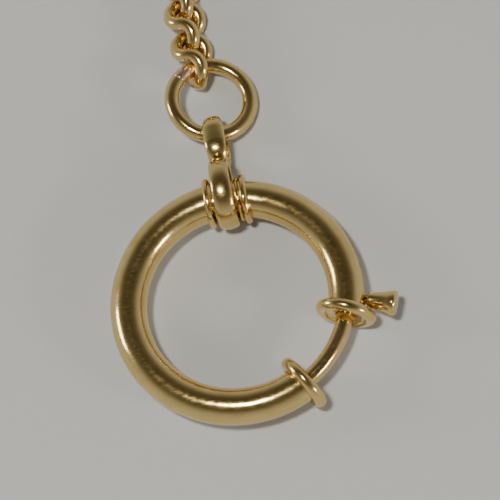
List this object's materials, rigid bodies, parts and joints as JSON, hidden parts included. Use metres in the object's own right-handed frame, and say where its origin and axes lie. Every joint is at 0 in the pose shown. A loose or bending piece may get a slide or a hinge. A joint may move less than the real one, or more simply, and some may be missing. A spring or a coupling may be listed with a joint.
{
  "type": "pocket watch chain",
  "caption": "Watch chain of round wire twisted curb links with a sprung bolt ring on a swivelling figure-eight bail at one end and a T-bar at the other.",
  "frame": {"origin": "centre of the bolt ring's opening, in the plane of its tube", "axes": "+Z is the axis of the bolt ring, square to the table it lies on; +Y points from the ring's centre to the bail; +X to the trigger side"},
  "size_m": [0.0749, 0.1864, 0.007],
  "materials": {
    "gold": "polished, lightly worn",
    "spring_steel": "drawn wire"
  },
  "bodies": {
    "bolt_ring": {"ring_tube": "gold", "trigger_end_collar": "gold", "catch_end_collar": "gold", "bail_collar_left": "gold", "bail_collar_right": "gold", "spring_stop": "gold", "catch_plug": "gold", "spring": "spring_steel"},
    "bolt_slide": {"bolt": "gold", "trigger_knob": "gold"},
    "bail_swivel": {"bail": "gold"},
    "joining_ring_body": {"joining_ring": "gold"},
    "link_01_body": {"link_01": "gold"},
    "link_02_body": {"link_02": "gold"},
    "link_03_body": {"link_03": "gold"},
    "link_04_body": {"link_04": "gold"},
    "link_05_body": {"link_05": "gold"},
    "link_06_body": {"link_06": "gold"},
    "link_07_body": {"link_07": "gold"},
    "link_08_body": {"link_08": "gold"},
    "link_09_body": {"link_09": "gold"},
    "link_10_body": {"link_10": "gold"},
    "link_11_body": {"link_11": "gold"},
    "link_12_body": {"link_12": "gold"},
    "link_13_body": {"link_13": "gold"},
    "link_14_body": {"link_14": "gold"},
    "link_15_body": {"link_15": "gold"},
    "link_16_body": {"link_16": "gold"},
    "link_17_body": {"link_17": "gold"},
    "link_18_body": {"link_18": "gold"},
    "link_19_body": {"link_19": "gold"},
    "link_20_body": {"link_20": "gold"},
    "link_21_body": {"link_21": "gold"},
    "link_22_body": {"link_22": "gold"},
    "link_23_body": {"link_23": "gold"},
    "link_24_body": {"link_24": "gold"},
    "link_25_body": {"link_25": "gold"},
    "link_26_body": {"link_26": "gold"},
    "link_27_body": {"link_27": "gold"},
    "link_28_body": {"link_28": "gold"},
    "link_29_body": {"link_29": "gold"},
    "link_30_body": {"link_30": "gold"},
    "link_31_body": {"link_31": "gold"},
    "link_32_body": {"link_32": "gold"},
    "link_33_body": {"link_33": "gold"},
    "link_34_body": {"link_34": "gold"},
    "link_35_body": {"link_35": "gold"},
    "link_36_body": {"link_36": "gold"},
    "link_37_body": {"link_37": "gold"},
    "link_38_body": {"link_38": "gold"},
    "link_39_body": {"link_39": "gold"},
    "link_40_body": {"link_40": "gold"},
    "link_41_body": {"link_41": "gold"},
    "link_42_body": {"link_42": "gold"},
    "link_43_body": {"link_43": "gold"},
    "link_44_body": {"link_44": "gold"},
    "end_ring_body": {"end_ring": "gold"},
    "t_bar_body": {"t_bar": "gold", "t_bar_eye": "gold"}
  },
  "joints": [
    {"name": "bolt_slide_joint", "type": "hinge", "parent": "bolt_ring", "child": "bolt_slide", "pos_m": [0, 0, 0], "axis": [0, 0, 1], "range_deg": [0, 45], "stiffness_Nm_per_rad": 0.0004, "springref_deg": -34.38, "deforming": ["spring"]},
    {"name": "bail_joint", "type": "hinge", "parent": "bolt_ring", "child": "bail_swivel", "pos_m": [0, 0.01024, 0], "axis": [0.9986, 0.0523, 0], "range_deg": [-60, 60]},
    {"name": "joining_ring_joint", "type": "hinge", "parent": "bail_swivel", "child": "joining_ring_body", "pos_m": [-0.00034, 0.01725, -0.00076], "axis": [0.9986, 0.0523, 0], "range_deg": [-60, 60]},
    {"name": "t_bar_joint", "type": "hinge", "parent": "end_ring_body", "child": "t_bar_body", "pos_m": [0.05068, 0.16047, -0.00092], "axis": [-0.6225, 0.7826, 0], "range_deg": [-40, 40]},
    {"name": "end_ring_joint", "type": "hinge", "parent": "link_44_body", "child": "end_ring_body", "pos_m": [0.04866, 0.15886, -0.00092], "axis": [-0.5642, 0.7093, 0.4226], "range_deg": [-24, 24]},
    {"name": "link_01_joint", "type": "hinge", "parent": "joining_ring_body", "child": "link_01_body", "pos_m": [-0.00127, 0.02318, -0.00092], "axis": [0.4185, 0.0588, 0.9063], "range_deg": [-12, 30]},
    {"name": "link_02_joint", "type": "hinge", "parent": "link_01_body", "child": "link_02_body", "pos_m": [-0.00193, 0.0279, -0.00092], "axis": [0.8975, 0.1261, -0.4226], "range_deg": [-50, 50]},
    {"name": "link_03_joint", "type": "hinge", "parent": "link_02_body", "child": "link_03_body", "pos_m": [-0.00209, 0.02997, -0.00092], "axis": [-0.4226, -0.0074, -0.9063], "range_deg": [-50, 50]},
    {"name": "link_04_joint", "type": "hinge", "parent": "link_03_body", "child": "link_04_body", "pos_m": [-0.00218, 0.03473, -0.00092], "axis": [-0.9062, -0.0158, 0.4226], "range_deg": [-50, 50]},
    {"name": "link_05_joint", "type": "hinge", "parent": "link_04_body", "child": "link_05_body", "pos_m": [-0.00221, 0.03681, -0.00092], "axis": [0.4226, 0.0074, 0.9063], "range_deg": [-50, 50]},
    {"name": "link_06_joint", "type": "hinge", "parent": "link_05_body", "child": "link_06_body", "pos_m": [-0.0023, 0.04157, -0.00092], "axis": [0.9062, 0.0158, -0.4226], "range_deg": [-50, 50]},
    {"name": "link_07_joint", "type": "hinge", "parent": "link_06_body", "child": "link_07_body", "pos_m": [-0.00233, 0.04365, -0.00092], "axis": [-0.4226, -0.0074, -0.9063], "range_deg": [-50, 50]},
    {"name": "link_08_joint", "type": "hinge", "parent": "link_07_body", "child": "link_08_body", "pos_m": [-0.00242, 0.04841, -0.00092], "axis": [-0.9062, -0.0158, 0.4226], "range_deg": [-50, 50]},
    {"name": "link_09_joint", "type": "hinge", "parent": "link_08_body", "child": "link_09_body", "pos_m": [-0.00245, 0.05049, -0.00092], "axis": [0.4226, 0.0074, 0.9063], "range_deg": [-50, 50]},
    {"name": "link_10_joint", "type": "hinge", "parent": "link_09_body", "child": "link_10_body", "pos_m": [-0.00254, 0.05525, -0.00092], "axis": [0.9062, 0.0158, -0.4226], "range_deg": [-50, 50]},
    {"name": "link_11_joint", "type": "hinge", "parent": "link_10_body", "child": "link_11_body", "pos_m": [-0.00252, 0.05733, -0.00092], "axis": [-0.4224, 0.0147, -0.9063], "range_deg": [-50, 50]},
    {"name": "link_12_joint", "type": "hinge", "parent": "link_11_body", "child": "link_12_body", "pos_m": [-0.00235, 0.06209, -0.00092], "axis": [-0.9058, 0.0316, 0.4226], "range_deg": [-50, 50]},
    {"name": "link_13_joint", "type": "hinge", "parent": "link_12_body", "child": "link_13_body", "pos_m": [-0.00222, 0.06416, -0.00092], "axis": [0.421, -0.0368, 0.9063], "range_deg": [-50, 50]},
    {"name": "link_14_joint", "type": "hinge", "parent": "link_13_body", "child": "link_14_body", "pos_m": [-0.00181, 0.0689, -0.00092], "axis": [0.9029, -0.079, -0.4226], "range_deg": [-50, 50]},
    {"name": "link_15_joint", "type": "hinge", "parent": "link_14_body", "child": "link_15_body", "pos_m": [-0.00157, 0.07097, -0.00092], "axis": [-0.4185, 0.0588, -0.9063], "range_deg": [-50, 50]},
    {"name": "link_16_joint", "type": "hinge", "parent": "link_15_body", "child": "link_16_body", "pos_m": [-0.00091, 0.07569, -0.00092], "axis": [-0.8975, 0.1261, 0.4226], "range_deg": [-50, 50]},
    {"name": "link_17_joint", "type": "hinge", "parent": "link_16_body", "child": "link_17_body", "pos_m": [-0.00057, 0.07774, -0.00092], "axis": [0.4149, -0.0806, 0.9063], "range_deg": [-50, 50]},
    {"name": "link_18_joint", "type": "hinge", "parent": "link_17_body", "child": "link_18_body", "pos_m": [0.00034, 0.08241, -0.00092], "axis": [0.8897, -0.1729, -0.4226], "range_deg": [-50, 50]},
    {"name": "link_19_joint", "type": "hinge", "parent": "link_18_body", "child": "link_19_body", "pos_m": [0.00079, 0.08444, -0.00092], "axis": [-0.4101, 0.1022, -0.9063], "range_deg": [-50, 50]},
    {"name": "link_20_joint", "type": "hinge", "parent": "link_19_body", "child": "link_20_body", "pos_m": [0.00194, 0.08906, -0.00092], "axis": [-0.8794, 0.2193, 0.4226], "range_deg": [-50, 50]},
    {"name": "link_21_joint", "type": "hinge", "parent": "link_20_body", "child": "link_21_body", "pos_m": [0.0025, 0.09106, -0.00092], "axis": [0.4042, -0.1236, 0.9063], "range_deg": [-50, 50]},
    {"name": "link_22_joint", "type": "hinge", "parent": "link_21_body", "child": "link_22_body", "pos_m": [0.00389, 0.09562, -0.00092], "axis": [0.8667, -0.265, -0.4226], "range_deg": [-50, 50]},
    {"name": "link_23_joint", "type": "hinge", "parent": "link_22_body", "child": "link_23_body", "pos_m": [0.00455, 0.09759, -0.00092], "axis": [-0.3971, 0.1445, -0.9063], "range_deg": [-50, 50]},
    {"name": "link_24_joint", "type": "hinge", "parent": "link_23_body", "child": "link_24_body", "pos_m": [0.00618, 0.10206, -0.00092], "axis": [-0.8517, 0.31, 0.4226], "range_deg": [-50, 50]},
    {"name": "link_25_joint", "type": "hinge", "parent": "link_24_body", "child": "link_25_body", "pos_m": [0.00694, 0.104, -0.00092], "axis": [0.389, -0.1651, 0.9063], "range_deg": [-50, 50]},
    {"name": "link_26_joint", "type": "hinge", "parent": "link_25_body", "child": "link_26_body", "pos_m": [0.0088, 0.10838, -0.00092], "axis": [0.8343, -0.3541, -0.4226], "range_deg": [-50, 50]},
    {"name": "link_27_joint", "type": "hinge", "parent": "link_26_body", "child": "link_27_body", "pos_m": [0.00966, 0.11027, -0.00092], "axis": [-0.3798, 0.1853, -0.9063], "range_deg": [-50, 50]},
    {"name": "link_28_joint", "type": "hinge", "parent": "link_27_body", "child": "link_28_body", "pos_m": [0.01175, 0.11455, -0.00092], "axis": [-0.8146, 0.3973, 0.4226], "range_deg": [-50, 50]},
    {"name": "link_29_joint", "type": "hinge", "parent": "link_28_body", "child": "link_29_body", "pos_m": [0.01271, 0.1164, -0.00092], "axis": [0.3696, -0.2049, 0.9063], "range_deg": [-50, 50]},
    {"name": "link_30_joint", "type": "hinge", "parent": "link_29_body", "child": "link_30_body", "pos_m": [0.01502, 0.12056, -0.00092], "axis": [0.7927, -0.4394, -0.4226], "range_deg": [-50, 50]},
    {"name": "link_31_joint", "type": "hinge", "parent": "link_30_body", "child": "link_31_body", "pos_m": [0.01607, 0.12235, -0.00092], "axis": [-0.3584, 0.224, -0.9063], "range_deg": [-50, 50]},
    {"name": "link_32_joint", "type": "hinge", "parent": "link_31_body", "child": "link_32_body", "pos_m": [0.0186, 0.12639, -0.00092], "axis": [-0.7686, 0.4803, 0.4226], "range_deg": [-50, 50]},
    {"name": "link_33_joint", "type": "hinge", "parent": "link_32_body", "child": "link_33_body", "pos_m": [0.01974, 0.12812, -0.00092], "axis": [0.3462, -0.2424, 0.9063], "range_deg": [-50, 50]},
    {"name": "link_34_joint", "type": "hinge", "parent": "link_33_body", "child": "link_34_body", "pos_m": [0.02247, 0.13202, -0.00092], "axis": [0.7424, -0.5198, -0.4226], "range_deg": [-50, 50]},
    {"name": "link_35_joint", "type": "hinge", "parent": "link_34_body", "child": "link_35_body", "pos_m": [0.02371, 0.1337, -0.00092], "axis": [-0.333, 0.2602, -0.9063], "range_deg": [-50, 50]},
    {"name": "link_36_joint", "type": "hinge", "parent": "link_35_body", "child": "link_36_body", "pos_m": [0.02664, 0.13745, -0.00092], "axis": [-0.7142, 0.558, 0.4226], "range_deg": [-50, 50]},
    {"name": "link_37_joint", "type": "hinge", "parent": "link_36_body", "child": "link_37_body", "pos_m": [0.02797, 0.13905, -0.00092], "axis": [0.319, -0.2773, 0.9063], "range_deg": [-50, 50]},
    {"name": "link_38_joint", "type": "hinge", "parent": "link_37_body", "child": "link_38_body", "pos_m": [0.03109, 0.14264, -0.00092], "axis": [0.684, -0.5946, -0.4226], "range_deg": [-50, 50]},
    {"name": "link_39_joint", "type": "hinge", "parent": "link_38_body", "child": "link_39_body", "pos_m": [0.03249, 0.14418, -0.00092], "axis": [-0.304, 0.2936, -0.9063], "range_deg": [-50, 50]},
    {"name": "link_40_joint", "type": "hinge", "parent": "link_39_body", "child": "link_40_body", "pos_m": [0.0358, 0.1476, -0.00092], "axis": [-0.6519, 0.6296, 0.4226], "range_deg": [-50, 50]},
    {"name": "link_41_joint", "type": "hinge", "parent": "link_40_body", "child": "link_41_body", "pos_m": [0.03728, 0.14906, -0.00092], "axis": [0.2882, -0.3091, 0.9063], "range_deg": [-50, 50]},
    {"name": "link_42_joint", "type": "hinge", "parent": "link_41_body", "child": "link_42_body", "pos_m": [0.04077, 0.15231, -0.00092], "axis": [0.6181, -0.6628, -0.4226], "range_deg": [-50, 50]},
    {"name": "link_43_joint", "type": "hinge", "parent": "link_42_body", "child": "link_43_body", "pos_m": [0.04232, 0.15369, -0.00092], "axis": [-0.2717, 0.3237, -0.9063], "range_deg": [-50, 50]},
    {"name": "link_44_joint", "type": "hinge", "parent": "link_43_body", "child": "link_44_body", "pos_m": [0.04597, 0.15674, -0.00092], "axis": [-0.5826, 0.6943, 0.4226], "range_deg": [-50, 50]}
  ]
}
